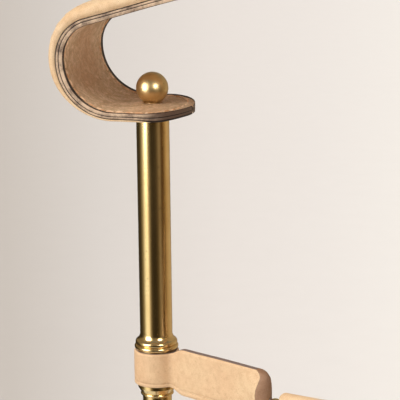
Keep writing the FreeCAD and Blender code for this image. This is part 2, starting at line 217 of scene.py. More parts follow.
class Finish:
    """A procedural material, built node by node round a Principled shader."""

    def __init__(self, name, **sockets):
        self.material = bpy.data.materials.new(name)
        self.material.use_nodes = True
        self.nodes = self.material.node_tree.nodes
        self.shader = self.nodes["Principled BSDF"]
        for socket, value in sockets.items():
            self.shader.inputs[socket.replace("_", " ")].default_value = value
        self.place = self.nodes.new("ShaderNodeTexCoord").outputs["Object"]
        self.height = None

    def link(self, output, target):
        self.material.node_tree.links.new(output, target)

    def mapped(self, socket, value, place=None):
        """Coordinates after one Mapping node with one of its sockets set."""
        node = self.nodes.new("ShaderNodeMapping")
        node.inputs[socket].default_value = value
        self.link(place or self.place, node.inputs["Vector"])
        return node.outputs["Vector"]

    def stretched(self, scale):
        """The piece's own coordinates, scaled differently along each axis."""
        return self.mapped("Scale", scale)

    def split(self, place=None):
        """The X, Y and Z outputs of coordinates."""
        node = self.nodes.new("ShaderNodeSeparateXYZ")
        self.link(place or self.place, node.inputs["Vector"])
        return node.outputs

    def maths(self, operation, *values):
        """A Math node on one or two outputs."""
        node = self.nodes.new("ShaderNodeMath")
        node.operation = operation
        for value, socket in zip(values, node.inputs):
            self.link(value, socket)
        return node.outputs[0]

    def span(self, value, low, high, kind="LINEAR"):
        """0 where a value is below low, 1 where it is above high, and between the two in between."""
        node = self.nodes.new("ShaderNodeMapRange")
        node.interpolation_type = kind
        node.inputs["From Min"].default_value = low
        node.inputs["From Max"].default_value = high
        self.link(value, node.inputs["Value"])
        return node.outputs["Result"]

    def noise(self, scale, detail=3.0, place=None, roughness=0.5, distortion=0.0):
        node = self.nodes.new("ShaderNodeTexNoise")
        node.inputs["Scale"].default_value = scale
        node.inputs["Detail"].default_value = detail
        node.inputs["Roughness"].default_value = roughness
        node.inputs["Distortion"].default_value = distortion
        self.link(place or self.place, node.inputs["Vector"])
        return node.outputs["Fac"]

    def cells(self, scale, feature="DISTANCE_TO_EDGE"):
        node = self.nodes.new("ShaderNodeTexVoronoi")
        node.feature = feature
        node.inputs["Scale"].default_value = scale
        self.link(self.place, node.inputs["Vector"])
        return node.outputs["Distance"]

    def ramp(self, value, *stops):
        """A colour ramp through (position, grey or colour) stops."""
        node = self.nodes.new("ShaderNodeValToRGB")
        elements = node.color_ramp.elements
        while len(elements) < len(stops):
            elements.new(1.0)
        for element, (position, colour) in zip(elements, stops):
            element.position = position
            element.color = (*colour, 1) if isinstance(colour, tuple) else (colour, colour, colour, 1)
        self.link(value, node.inputs["Fac"])
        return node.outputs["Color"]

    def mix(self, factor, a, b, kind="MIX"):
        """A colour mix. factor, a and b are outputs, numbers or colours."""
        node = self.nodes.new("ShaderNodeMix")
        node.data_type = "RGBA"
        node.blend_type = kind
        for value, socket in ((factor, node.inputs[0]), (a, node.inputs[6]), (b, node.inputs[7])):
            if isinstance(value, bpy.types.NodeSocket):
                self.link(value, socket)
            elif isinstance(value, tuple):
                socket.default_value = (*value, 1)
            else:
                socket.default_value = value if socket.type == "VALUE" else (value, value, value, 1)
        return node.outputs[2]

    def colour(self, output):
        self.link(output, self.shader.inputs["Base Color"])
        return self

    def rough(self, value, low, high):
        """Roughness that follows a grey value between two limits."""
        self.link(self.ramp(value, (0.0, low), (1.0, high)), self.shader.inputs["Roughness"])
        return self

    def off_the_tips(self):
        """0 on the handle's strap ends and 1 elsewhere."""
        place = self.split()
        outside = self.maths("ABSOLUTE", place["X"])
        outside = self.span(outside, (POST_X - 13) * MM, (POST_X - 1) * MM)
        above = self.span(place["Z"], (TUBE_TOP + 6) * MM, (TUBE_TOP + 9) * MM)
        return self.maths("MAXIMUM", outside, above)

    def bump(self, height, strength, distance):
        """Adds one layer of bump over what is there. distance is in millimetres."""
        node = self.nodes.new("ShaderNodeBump")
        node.inputs["Strength"].default_value = strength
        node.inputs["Distance"].default_value = distance * MM
        self.link(height, node.inputs["Height"])
        if self.height:
            self.link(self.height, node.inputs["Normal"])
        self.height = node.outputs["Normal"]
        self.link(self.height, self.shader.inputs["Normal"])
        return self


def brass(name, colour, shade, polish, patina):
    """Brass with a light patina, tarnish specks and fine scratches round and along the piece."""
    finish = Finish(name, Metallic=1.0)
    cloud = finish.noise(28, 5, roughness=0.62)
    specks = finish.ramp(finish.noise(420, 4, roughness=0.7), (0.60, 0.0), (0.74, 1.0))
    rubbed = finish.ramp(cloud, (0.36, 0.0), (0.72, patina))
    tone = finish.mix(rubbed, colour, shade)
    tone = finish.mix(finish.mix(0.6, 0.0, specks), tone, tuple(c * 0.45 for c in shade))
    finish.colour(tone)
    finish.rough(cloud, polish, polish + 0.14)
    rings = finish.noise(1.0, 2, finish.stretched((60, 60, 5200)))
    draws = finish.noise(1.0, 2, finish.stretched((3800, 3800, 40)))
    finish.bump(rings, 0.10, 0.02)
    finish.bump(draws, 0.08, 0.02)
    finish.bump(specks, 0.2, 0.03)
    return finish.material


def leather(name, colour, warm, dark, grain=1500.0):
    """Natural tan leather: a pebbled grain with pores, soft colour clouds and small dark marks."""
    finish = Finish(name, Specular_IOR_Level=0.3, Sheen_Weight=0.02, Sheen_Roughness=0.5)
    cloud = finish.ramp(finish.noise(45, 4, roughness=0.6), (0.35, 0.0), (0.68, 1.0))
    blotch = finish.ramp(finish.noise(260, 3, roughness=0.6), (0.42, 0.0), (0.66, 1.0))
    pebble = finish.cells(grain)
    pores = finish.ramp(finish.noise(900, 3, roughness=0.7), (0.62, 0.0), (0.72, 1.0))
    tone = finish.mix(cloud, colour, warm)
    spotted = tuple(0.7 * w + 0.3 * c for w, c in zip(warm, dark))
    tone = finish.mix(finish.mix(0.5, 0.0, blotch), tone, spotted)
    creases = finish.ramp(pebble, (0.0, 0.35), (0.10, 0.0))
    tone = finish.mix(creases, tone, dark)
    tone = finish.mix(finish.mix(0.5, 0.0, pores), tone, dark)
    finish.colour(tone)
    finish.rough(blotch, 0.48, 0.66)
    finish.bump(finish.ramp(pebble, (0.0, 0.0), (0.28, 1.0)), 0.35, 0.10)
    finish.bump(finish.noise(320, 4, roughness=0.6), 0.30, 0.25)
    finish.bump(pores, 0.3, -0.08)
    return finish.material


def suede(name, colour, light, warm, dark):
    """The lining's napped flesh side: a short matt nap with scuffs."""
    finish = Finish(name, Specular_IOR_Level=0.10, Sheen_Weight=0.08, Sheen_Roughness=0.6)
    nap = finish.noise(1900, 4, roughness=0.75)
    scuff = finish.ramp(finish.noise(150, 6, roughness=0.72, distortion=1.6), (0.44, 0.0), (0.60, 1.0))
    stain = finish.ramp(finish.noise(38, 3, roughness=0.5), (0.38, 0.0), (0.64, 1.0))
    fibre = finish.ramp(finish.noise(620, 4, roughness=0.75), (0.38, 0.0), (0.62, 1.0))
    tone = finish.mix(scuff, colour, light)
    tone = finish.mix(finish.mix(0.55, 0.0, stain), tone, warm)
    tone = finish.mix(finish.mix(0.45, 0.0, fibre), tone, dark)
    finish.colour(tone)
    finish.rough(nap, 0.86, 0.97)
    finish.bump(nap, 0.7, 0.22)
    finish.bump(fibre, 0.5, 0.25)
    finish.bump(scuff, 0.4, 0.25)
    return finish.material


def edge_paint(name, colour, worn, wear_from=0.42):
    """Painted and burnished cut edges, worn paler in places but not at the handle's tips."""
    finish = Finish(name, Specular_IOR_Level=0.2)
    wear = finish.ramp(finish.noise(150, 5, roughness=0.7), (wear_from, 0.0), (wear_from + 0.26, 1.0))
    wear = finish.mix(1.0, wear, finish.off_the_tips(), "MULTIPLY")
    layers = finish.noise(1.0, 3, finish.stretched((220, 900, 2400)))
    finish.colour(finish.mix(wear, finish.mix(layers, tuple(c * 0.6 for c in colour), colour), worn))
    finish.rough(wear, 0.42, 0.7)
    finish.bump(layers, 0.4, 0.12)
    return finish.material


def thread(name, colour, shade):
    """Waxed linen thread with a twist."""
    finish = Finish(name, Specular_IOR_Level=0.3)
    twist = finish.nodes.new("ShaderNodeTexWave")
    twist.bands_direction = "DIAGONAL"
    twist.inputs["Scale"].default_value = 420
    twist.inputs["Distortion"].default_value = 0.6
    finish.link(finish.place, twist.inputs["Vector"])
    worn = finish.ramp(finish.noise(240, 2), (0.35, 0.0), (0.65, 1.0))
    finish.colour(finish.mix(worn, colour, shade))
    finish.rough(twist.outputs["Fac"], 0.55, 0.75)
    finish.bump(twist.outputs["Fac"], 0.5, 0.08)
    return finish.material


def steel(name):
    """Plain turned steel, brushed along the bar."""
    finish = Finish(name, Metallic=1.0)
    lines = finish.noise(1.0, 3, finish.stretched((1500, 1500, 60)))
    finish.colour(finish.ramp(lines, (0.2, (0.34, 0.33, 0.32)), (0.8, (0.52, 0.51, 0.49))))
    finish.rough(lines, 0.24, 0.42)
    finish.bump(lines, 0.15, 0.02)
    return finish.material


def stained_wood(name):
    """Stained beech with its grain along the shelf."""
    finish = Finish(name, Specular_IOR_Level=0.4)
    grain = finish.noise(1.0, 6, finish.stretched((9, 130, 260)), 0.62, 0.8)
    pores = finish.noise(1.0, 3, finish.stretched((90, 1600, 1600)))
    tone = finish.ramp(grain, (0.3, (0.075, 0.032, 0.014)), (0.72, (0.19, 0.088, 0.040)))
    flecks = finish.ramp(pores, (0.58, 0.0), (0.70, 0.7))
    finish.colour(finish.mix(flecks, tone, (0.035, 0.016, 0.008)))
    finish.rough(grain, 0.32, 0.5)
    finish.bump(pores, 0.25, 0.06)
    return finish.material


def felt(name):
    """Pressed wool felt."""
    finish = Finish(name, Specular_IOR_Level=0.1, Sheen_Weight=0.4)
    fibre = finish.noise(2600, 4, roughness=0.8)
    finish.colour(finish.ramp(fibre, (0.3, (0.045, 0.032, 0.022)), (0.7, (0.12, 0.088, 0.062))))
    finish.rough(fibre, 0.9, 1.0)
    finish.bump(fibre, 0.8, 0.2)
    return finish.material


BRASS = brass("brass_aged_finish", (0.86, 0.66, 0.35), (0.62, 0.42, 0.17), 0.13, 0.6)
BALL_BRASS = brass("brass_ball_finish", (0.84, 0.66, 0.38), (0.56, 0.40, 0.18), 0.25, 0.7)
TAN = leather("leather_tan_finish", (0.82, 0.60, 0.365), (0.76, 0.50, 0.29), (0.40, 0.21, 0.10))
HANDLE_TAN = leather("leather_handle_finish", (0.84, 0.63, 0.40), (0.78, 0.51, 0.28), (0.38, 0.20, 0.09))
SHELF_TAN = leather(
    "leather_shelf_finish", (0.70, 0.45, 0.24), (0.58, 0.33, 0.15), (0.25, 0.12, 0.05), 1100
)
SUEDE = suede(
    "suede_finish", (0.60, 0.39, 0.215), (0.84, 0.60, 0.38), (0.52, 0.26, 0.12), (0.30, 0.18, 0.09)
)
EDGE = edge_paint("edge_paint_finish", (0.16, 0.096, 0.066), (0.66, 0.48, 0.33), 0.32)
EDGE_LINE = edge_paint("edge_line_finish", (0.034, 0.021, 0.017), (0.09, 0.06, 0.045))
STRAP_EDGE = edge_paint("strap_edge_finish", (0.26, 0.185, 0.16), (0.42, 0.32, 0.25))
# Painted shade: the strap's fold turns away from the key light, so its tan is painted dark brown.
FOLD_SHADE_TAN = leather("leather_fold_painted_shade_finish", (0.36, 0.205, 0.12), (0.28, 0.145, 0.08), (0.16, 0.08, 0.04))
THREAD = thread("thread_finish", (0.95, 0.68, 0.44), (0.62, 0.31, 0.14))
PALE_THREAD = thread("pale_thread_finish", (0.78, 0.58, 0.37), (0.62, 0.42, 0.24))
STEEL = steel("steel_finish")
WOOD = stained_wood("wood_finish")
FELT = felt("felt_finish")

SLOT_FINISH = {
    "brass_aged": BRASS,
    "brass_polished": BALL_BRASS,
    "steel": STEEL,
    "leather_tan": TAN,
    "suede_lining": SUEDE,
    "leather_shelf": SHELF_TAN,
    "wood_board": WOOD,
    "felt": FELT,
}


def finish_frame():
    """Gives every CAD node its record slot's finish."""
    slots = {part["node"]: part["material_slot"] for part in frame["record"]["subparts"]}
    for node, obj in frame["nodes"].items():
        obj.data.materials.clear()
        obj.data.materials.append(SLOT_FINISH[slots[node]])


# ---------------------------------------------------------------- handle


def cut_round(obj, centre, radius, depth):
    """Bores an upright round hole through a piece."""
    bpy.ops.mesh.primitive_cylinder_add(
        vertices=96, radius=radius * MM, depth=depth * MM, location=Vector(centre) * MM
    )
    tool = bpy.context.object
    cut = obj.modifiers.new("bore", "BOOLEAN")
    cut.operation = "DIFFERENCE"
    cut.solver = "EXACT"
    cut.object = tool
    shaped = bpy.data.meshes.new_from_object(obj.evaluated_get(bpy.context.evaluated_depsgraph_get()))
    obj.modifiers.clear()
    obj.data = shaped
    bpy.data.objects.remove(tool)


class HandleLine:
    """The lining's surface line in the XZ plane, from the left strap end round to the right one."""

    def __init__(self):
        turn = math.pi / 2 - RISE_ANGLE
        line_z = RISE_FROM[1] - (RISE_FROM[0] - CURL_X) * math.tan(RISE_ANGLE)
        reach = CURL_HIGH_R * math.tan(turn / 2)
        upright = line_z - reach - END_T - CURL_LOW_R
        rise = (RISE_FROM[0] - CURL_X) / math.cos(RISE_ANGLE) - reach
        bow_r = (POST_X - RISE_FROM[0]) / math.sin(RISE_ANGLE)
        half = [
            (TIP_X - CURL_X - CURL_LOW_R, 0.0),
            (CURL_LOW_R * math.pi / 2, math.pi / 2),
            (upright, 0.0),
            (CURL_HIGH_R * turn, turn),
            (rise, 0.0),
            (bow_r * RISE_ANGLE, RISE_ANGLE),
        ]
        self.spans = half + half[::-1]
        self.length = sum(length for length, _ in self.spans)
        self.curl_end = sum(length for length, _ in half[:4])

    def at(self, s):
        """The point and the direction angle at a distance along the line."""
        x, z, angle = -POST_X + TIP_X, TUBE_TOP + END_T, math.pi
        for length, turn in self.spans:
            step = min(s, length)
            bend = turn * step / length
            chord = step if turn == 0 else step * math.sin(bend / 2) / (bend / 2) if bend else 0.0
            x += chord * math.cos(angle - bend / 2)
            z += chord * math.sin(angle - bend / 2)
            angle -= bend
            s -= step
            if s <= 0:
                break
        return x, z, angle

    def place(self, s, y, depth):
        """The point at a depth behind the lining's surface, towards the outer leather."""
        x, z, angle = self.at(s)
        return Vector((x - depth * math.sin(angle), y, z + depth * math.cos(angle)))

    def axes(self, s):
        """The directions along the line and out of it, towards the outer leather."""
        angle = self.at(s)[2]
        along = Vector((math.cos(angle), 0, math.sin(angle)))
        return along, Vector((-math.sin(angle), 0, math.cos(angle)))


LINE = HandleLine()


def handle_half_width(s):
    """Half the handle's width at a distance along it, with its round ends and a little wander."""
    wander = 0.22 * math.sin(s / 17.0) + 0.14 * math.sin(s / 7.3 + 1.0)
    if from_end(s) >= TIP_ROUND:
        return STRAP_HALF + wander * smooth((from_end(s) - TIP_ROUND) / 10)
    past = (TIP_ROUND - from_end(s)) / TIP_ROUND
    return STRAP_HALF * max(1 - past**1.8, 0.0024) ** 0.6


def from_end(s):
    """How far a place along the handle is from the nearer strap end."""
    return min(s, LINE.length - s)


def handle_stations():
    """Distances along the handle, closer together round its ends."""
    tip = [TIP_ROUND * (1 - math.cos(math.pi / 2 * k / TIP_STEPS)) for k in range(TIP_STEPS)]
    middle = LINE.length - 2 * TIP_ROUND
    count = round(middle / STATION_STEP)
    body = [TIP_ROUND + middle * k / count for k in range(count + 1)]
    return tip + body + [LINE.length - s for s in reversed(tip)]


def handle_thickness(s):
    """Flat where it is clamped, pared at its tips, fuller round the curls and fullest at the grip."""
    pared = PARED_T * (1 - smooth(from_end(s) / PARED_L))
    curl = smooth((from_end(s) - CURL_FILLS_FROM) / FILL_L)
    grip = smooth((from_end(s) - LINE.curl_end + GRIP_LEAD) / FILL_L)
    return END_T - pared + (CURL_T - END_T) * curl + (GRIP_T - CURL_T) * grip


def edge_thickness(s):
    """The painted core's reach from the lining's surface.

    Its layers spread round the curls, and the paint covers the whole edge at the strap's ends.
    """
    spread = 0.9 * bell((from_end(s) - 66) / 24) + 0.2 * smooth((from_end(s) - 70) / 30)
    covered = (handle_thickness(s) + 0.1 - EDGE_T) * (1 - smooth((from_end(s) - 6) / 14))
    return EDGE_T + spread + covered


def outer_low(s):
    """Where the outer leather's inner side lies."""
    return min(edge_thickness(s) - 0.05, handle_thickness(s) - 0.7)


def dome(y, half):
    """The outer leather's share of its full thickness across the strap."""
    return (1 - min(abs(y) / half, 1.0) ** 5) ** 0.2


def rim(inset):
    """How far the lining's rim is drawn in towards the inside of the curl."""
    return RIM_RAISE * max(1 - inset / 8, 0.0) ** 2


# How far in from the edge the outer leather's points lie
OUTER_RIM_INSETS = (0, 0.04, 0.15, 0.4, 0.8, 1.3, 2.0, 2.8)
OUTER_GROOVE_INSETS = (3.4, 3.8, OUTER_STITCH_IN, 4.6, 5.0)
OUTER_INSETS = OUTER_RIM_INSETS + OUTER_GROOVE_INSETS + (5.7, 7, 9.5, 13, 17.5, 22.5, STRAP_HALF)
# The painted edge from the lining to the outer leather, as (share of its height, inset)
EDGE_PROFILE = (
    (0.42, 1.9),
    (0.05, 0.9),
    (0.0, 0.55),
    (0.06, 0.2),
    (0.16, 0.02),
    (0.36, 0.0),
    (0.46, 0.08),
    (0.5, 0.42),
    (0.56, 0.08),
    (0.66, 0.0),
    (0.8, 0.05),
    (0.88, 0.4),
    (1.0, 0.6),
    (0.7, 2.2),
)
EDGE_COLUMNS = [1, 1, 1, 0, 0, 0, 1, 1, 0, 0, 1, 1, 1]  # 1 is the dark paint in the lines between layers
LINING_INSETS = (0.06, 0.3, 1.0, 1.8, 2.6, 3.2, 3.7, LINING_STITCH_IN, 4.8, 7, 11, 16, 21.5, STRAP_HALF)
RIM_COLUMNS = 4  # the edge paint runs this many columns of faces over the lining's rim
LINING_BACK_COLUMNS = 6


def mirrored(profile):
    """A profile from the +Y edge to the middle, carried on to the -Y edge."""
    return profile + [(-y, depth) for y, depth in reversed(profile[:-1])]


def handle_layer(name, section, finishes, columns=None):
    """Lofts one layer of the handle from its cross-section at each station.

    columns gives the finish number of each column of faces round the section.
    """
    rings = []
    for s in handle_stations():
        rings.append([LINE.place(s, y, depth) for y, depth in section(s, handle_half_width(s))])
    points, faces = loft(rings)
    which = None
    if columns:
        which = columns * (len(rings) - 1) + [0, 0]
    return piece(name, points, faces, finishes, which=which)


def outer_section(s, half):
    """The domed outer leather with its stitched groove, and its flat inner side."""
    thickness = handle_thickness(s)
    flat_end = smooth((from_end(s) - 10) / 30)
    half -= EDGE_INSET_AT_TIP * (1 - flat_end)
    low = outer_low(s)
    top = []
    for inset in OUTER_INSETS:
        y = half * (1 - inset / STRAP_HALF)
        rise = dome(y, half)
        groove = 0.28 * bell((inset - OUTER_STITCH_IN) / 0.55)
        quilt = 0.10 * math.sin(s / 5.1) * math.sin(inset / 4.0 + s / 23.0)
        top.append((y, low + (thickness - low) * rise - (groove - quilt) * rise * flat_end))
    inner = [(y, low) for y in (-half * 0.9, -half * 0.45, 0.0, half * 0.45, half * 0.9)]
    return mirrored(top) + inner


def lining_section(s, half):
    """The suede lining, dented along its stitches and pushed up round the finial's foot."""
    share = half / STRAP_HALF
    from_post = from_end(s) - TIP_X
    half -= 0.12
    under = []
    for inset in LINING_INSETS:
        y = max(half - inset * share, 0.0)
        dent = 0.22 * bell((inset - LINING_STITCH_IN) / 0.6)
        nap = 0.05 * math.sin(s / 3.7 + inset) + 0.05 * math.sin(s / 9.0 - inset / 2)
        edge = 0.3 * bell(inset / 0.35)
        swell = FOOT_SWELL * bell(math.hypot(from_post, y) / FOOT_SWELL_R)
        under.append((y, dent + edge + nap * smooth(inset / 3) - swell - rim(inset)))
    back = [(y, LINING_T) for y in (-half, -half * 0.45, 0.0, half * 0.45, half)]
    return mirrored(under) + back


def edge_section(s, half):
    """The painted core between lining and outer leather: two cut layers with a line between them."""
    share = half / STRAP_HALF
    low, high = -0.08 - RIM_RAISE, edge_thickness(s) + 0.2
    profile = [(half - inset * share, low + (high - low) * t) for t, inset in EDGE_PROFILE]
    return profile + [(-y, depth) for y, depth in reversed(profile)]


def handle_stitches(name, inset, depth, side, finish, radius=THREAD_R):
    """A row of stitches round the whole handle. side is -1 on the lining and 1 on the outer leather."""
    half = STRAP_HALF - inset
    reach = TIP_ROUND - inset
    quarter = [math.pi / 2 * k / 24 for k in range(25)]
    left = [(TIP_ROUND - reach * math.cos(a), half * math.sin(a)) for a in quarter]
    right = [(LINE.length - s, y) for s, y in reversed(left)]
    upper = left + right
    outline = upper + [(s, -y) for s, y in reversed(upper)]
    lengths = [0.0]
    for a, b in zip(outline, outline[1:]):
        lengths.append(lengths[-1] + math.dist(a, b))
    count = round(lengths[-1] / STITCH_PITCH)
    shells = []
    span = 0
    for k in range(count):
        want = lengths[-1] * (k + 0.5) / count
        while lengths[span + 1] < want:
            span += 1
        share = (want - lengths[span]) / (lengths[span + 1] - lengths[span])
        (s0, y0), (s1, y1) = outline[span], outline[span + 1]
        s, y = s0 + (s1 - s0) * share, y0 + (y1 - y0) * share
        along, out = LINE.axes(s)
        run = Vector((along.x * (s1 - s0), y1 - y0, along.z * (s1 - s0))).normalized()
        run = (run + 0.10 * run.cross(out)).normalized()
        centre = LINE.place(s, y, depth(s, y))
        shells.append(stitch(centre, run, run.cross(out * side), out * side, radius=radius))
    points, faces = join(shells)
    piece(name, points, faces, [finish])


def outer_depth(s, y):
    """How far behind the lining's surface the outer leather's groove lies at a stitch."""
    low = outer_low(s)
    return low + (handle_thickness(s) - low) * dome(y, handle_half_width(s)) - 0.12


def lining_depth(_s, _y):
    """How far behind the lining's surface its stitches lie, which is the same all round."""
    return -0.08 - rim(LINING_STITCH_IN)


def build_handle():
    outer = handle_layer("handle_outer_leather", outer_section, [HANDLE_TAN])
    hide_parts("handle_outer")
    nap_columns = 2 * (len(LINING_INSETS) - 1 - RIM_COLUMNS)
    rim_columns = [1] * RIM_COLUMNS
    columns = rim_columns + [0] * nap_columns + rim_columns + [0] * LINING_BACK_COLUMNS
    lining = handle_layer("handle_suede", lining_section, [SUEDE, EDGE_LINE], columns)
    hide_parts("handle_lining")
    columns = EDGE_COLUMNS + [0] + EDGE_COLUMNS[::-1] + [0]
    edge = handle_layer("handle_painted_edge", edge_section, [EDGE, EDGE_LINE], columns)
    for x in (-POST_X, POST_X):
        for layer in (outer, lining, edge):
            cut_round(layer, (x, 0, TUBE_TOP), ROD_HOLE_R, 20)
        cut_round(lining, (x, 0, TUBE_TOP + END_T + 10), FOOT_HOLE_R, 20)
    handle_stitches("handle_lining_stitches", LINING_STITCH_IN, lining_depth, -1, THREAD, LINING_THREAD_R)
    handle_stitches("handle_outer_stitches", OUTER_STITCH_IN, outer_depth, 1, PALE_THREAD)


# ---------------------------------------------------------------- straps


def strap_half_height(s):
    """Half the strap's height: the low band round the neck flares out to the full strap."""
    band = (BAND_HIGH - BAND_LOW) / 2
    return band + (STRAP_H / 2 - band) * smooth((s - FLARE_FROM) / (FLARE_TO - FLARE_FROM))


def strap_end(height):
    """Where the strap ends at a height from its middle: its fold has round corners."""
    above = abs(height) - (STRAP_H / 2 - FOLD_CORNER)
    if above <= 0:
        return FOLD_END
    return FOLD_END - FOLD_CORNER + math.sqrt(max(FOLD_CORNER**2 - above**2, 0.0))


def strap_wave(s, share):
    """How far the strap wanders sideways. share is the height over the half height."""
    return 0.16 * math.sin(s / 6.5 + share) * smooth((s - 14) / 12)


def strap_half_thickness(s, height):
    """Half the strap's thickness: it opens out round the cross pin near its fold."""
    open_up = smooth((s - FOLD_END + BULGE_L) / 15) * max(1 - (height / (STRAP_H / 2)) ** 2, 0.0) ** 1.8
    return STRAP_T / 2 + FOLD_BULGE * open_up


CREASE_S = math.sqrt((BAND_R + CREASE_R) ** 2 - (STRAP_T / 2 + CREASE_R) ** 2)
CREASE_ANGLE = math.atan2(STRAP_T / 2 + CREASE_R, CREASE_S)
BAND_STEPS = 30
CREASE_STEPS = 6
FLAG_STEPS = 34
FOLD_STEPS = 9


def strap_outline(height, inset):
    """Half of the strap's outline in plan at one height: round the neck, along it and over the fold."""
    points = []
    for k in range(BAND_STEPS):
        angle = math.pi - (math.pi - CREASE_ANGLE) * k / BAND_STEPS
        radius = BAND_R - inset
        points.append((radius * math.cos(angle), radius * math.sin(angle)))
    for k in range(CREASE_STEPS):
        angle = CREASE_ANGLE + math.pi + (math.pi / 2 - CREASE_ANGLE) * k / CREASE_STEPS
        radius = CREASE_R + inset
        centre_t = STRAP_T / 2 + CREASE_R
        points.append((CREASE_S + radius * math.cos(angle), centre_t + radius * math.sin(angle)))
    end = strap_end(height) - inset
    fold_r = strap_half_thickness(end, height) - inset
    run_end = end - fold_r
    for k in range(FLAG_STEPS):
        s = CREASE_S + (run_end - CREASE_S) * k / FLAG_STEPS
        points.append((s, strap_half_thickness(s, height) - inset))
    start_t = strap_half_thickness(run_end, height) - inset
    for k in range(FOLD_STEPS + 1):
        angle = math.pi / 2 * (1 - k / FOLD_STEPS)
        points.append((run_end + fold_r * math.cos(angle), start_t * math.sin(angle)))
    return points


def strap_levels():
    """(share of the half height, inset) from the bottom edge to the top one, with the stitches' groove."""
    full = STRAP_H / 2
    rim_rows = ((0.0, 1.3), (0.12, 0.75), (0.4, 0.3), (0.8, 0.08), (1.3, 0.0), (1.9, 0.0))
    groove_rows = ((2.4, 0.08), (2.9, 0.42), (3.4, 0.08), (4.0, 0.0), (6.5, 0.0), (9.0, 0.0))
    rows = rim_rows + groove_rows
    low = [(from_edge / full - 1, inset) for from_edge, inset in rows]
    high = [(1 - from_edge / full, inset if from_edge < 2 else 0.0) for from_edge, inset in rows]
    return low + [(0.0, 0.0)] + high[::-1]


EDGE_LEVELS = 1  # the painted edge takes the outermost rows of faces


def strap_shape():
    """Points, faces and finish numbers of the strap along +X from the neck's axis, at height 0."""
    levels = strap_levels()
    rings = []
    for share, inset in levels:
        height = share * STRAP_H / 2
        ring = []
        for s, t in strap_outline(height, inset):
            ring.append((s, t, share * strap_half_height(s), strap_wave(s, share)))
        full = [(s, t + wave, z) for s, t, z, wave in ring]
        full += [(s, -t + wave, z) for s, t, z, wave in reversed(ring[1:-1])]
        rings.append(full)
    points, faces = loft(rings)
    count = len(rings[0])
    del faces[-2:]
    for start in (0, (len(rings) - 1) * count):
        for j in range(count // 2):
            corners = [j, j + 1, (count - j - 1) % count, (count - j) % count]
            face = tuple(dict.fromkeys(start + c for c in corners))
            if len(face) > 2:
                faces.append(face)
    which = []
    fold_from = BAND_STEPS + CREASE_STEPS + FLAG_STEPS
    for i in range(len(rings) - 1):
        edge = i < EDGE_LEVELS or i >= len(rings) - 1 - EDGE_LEVELS
        for j in range(count):
            # The fold's faces take the painted shade finish.
            shaded_fold = fold_from <= j < count - fold_from
            which.append(2 if shaded_fold else 1 if edge else 0)
    which += [1] * (len(faces) - len(which))
    return points, faces, which


def strap_places():
    """Each strap's name, its CAD node, and the matrix that takes the +X strap there, in millimetres."""
    places = []
    for side, across in (("left", 1), ("right", -1)):
        for level, deep, drop in (("high", -1, 0.0), ("low", 1, SIDE_DROP)):
            turn = Matrix.Rotation(deep * STRAP_ANGLE, 4, "Z")
            flip = Matrix.Diagonal((across, 1, 1, 1))
            move = Matrix.Translation((-POST_X * across, 0, STRAP_Z - drop))
            places.append((f"{level}_strap_{side}", move @ flip @ turn))
    return places


def strap_stitches():
    """The strap's stitches on both faces, along its lower edge, as shells along +X."""
    shells = []
    first, last = FLARE_TO - 2.0, FOLD_END - 7.0
    count = int((last - first) / STITCH_PITCH)
    height = STRAP_STITCH_IN - STRAP_H / 2
    for face in (-1, 1):
        for k in range(count + 1):
            s = first + k * STITCH_PITCH
            t = face * (strap_half_thickness(s, height) - 0.26) + strap_wave(s, -0.75)
            along = Vector((1, 0.02 * face, -0.06)).normalized()
            centre = Vector((s, t, STRAP_STITCH_IN - strap_half_height(s)))
            up, out = Vector((0, 0, 1)), Vector((0, face, 0))
            shells.append(stitch(centre, along, up, out, radius=STRAP_THREAD_R))
    return join(shells)


def build_straps():
    points, faces, which = strap_shape()
    thread_points, thread_faces = strap_stitches()
    for node, matrix in strap_places():
        name = node + "_leather"
        placed = [matrix @ Vector(p) for p in points]
        strap = piece(name, placed, faces, [TAN, STRAP_EDGE, FOLD_SHADE_TAN], which=which)
        cut_round(strap, matrix @ Vector((0, 0, 0)), NECK_R + 0.06, 40)
        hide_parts(node)
        placed = [matrix @ Vector(p) for p in thread_points]
        piece(node + "_stitches", placed, thread_faces, [PALE_THREAD])


# ---------------------------------------------------------------- rails


def rail_line():
    """The -Y rail's start, bend radius and centre in plan."""
    start = Vector(
        (-POST_X + RAIL_AT * math.cos(STRAP_ANGLE), -RAIL_AT * math.sin(STRAP_ANGLE), 0)
    )
    bend = -start.x / math.sin(RAIL_ANGLE)
    return start, bend, Vector((0, start.y + bend * math.cos(RAIL_ANGLE), 0))


def rail_ring(angle, radius, ahead, lift):
    """One ring of the rolled leather at an angle along the rail, with its butted seam underneath."""
    _, bend, centre = rail_line()
    outward = Vector((math.sin(angle), -math.cos(angle), 0))
    along = Vector((math.cos(angle), math.sin(angle), 0))
    middle = centre + outward * bend + along * ahead + Vector((0, 0, STRAP_Z))
    ring = []
    for k in range(RAIL_SIDES):
        turn = math.tau * k / RAIL_SIDES
        seam = 0.084 * bell((turn - RAIL_SEAM) / 0.16)
        reach = radius * (1 - seam) + lift * math.sin(2 * turn + angle * 40)
        ring.append(middle + outward * (reach * math.cos(turn)) + Vector((0, 0, reach * math.sin(turn))))
    return ring


def rail_skin():
    """Points and faces of the leather rolled round the rail's core, with gathered round ends."""
    quarter = [math.pi / 2 * k / RAIL_END_STEPS for k in range(RAIL_END_STEPS, 0, -1)]
    ends = [(math.sin(a), max(RAIL_R * math.cos(a), 0.15)) for a in quarter]
    rings = [rail_ring(-RAIL_ANGLE, size, -RAIL_R * reach, 0.0) for reach, size in ends]
    for k in range(RAIL_STEPS + 1):
        angle = RAIL_ANGLE * (2 * k / RAIL_STEPS - 1)
        lift = 0.05 * math.sin(k * 0.9) + 0.03
        rings.append(rail_ring(angle, RAIL_R, 0.0, lift))
    rings += [rail_ring(RAIL_ANGLE, size, RAIL_R * reach, 0.0) for reach, size in reversed(ends)]
    return loft(rings)


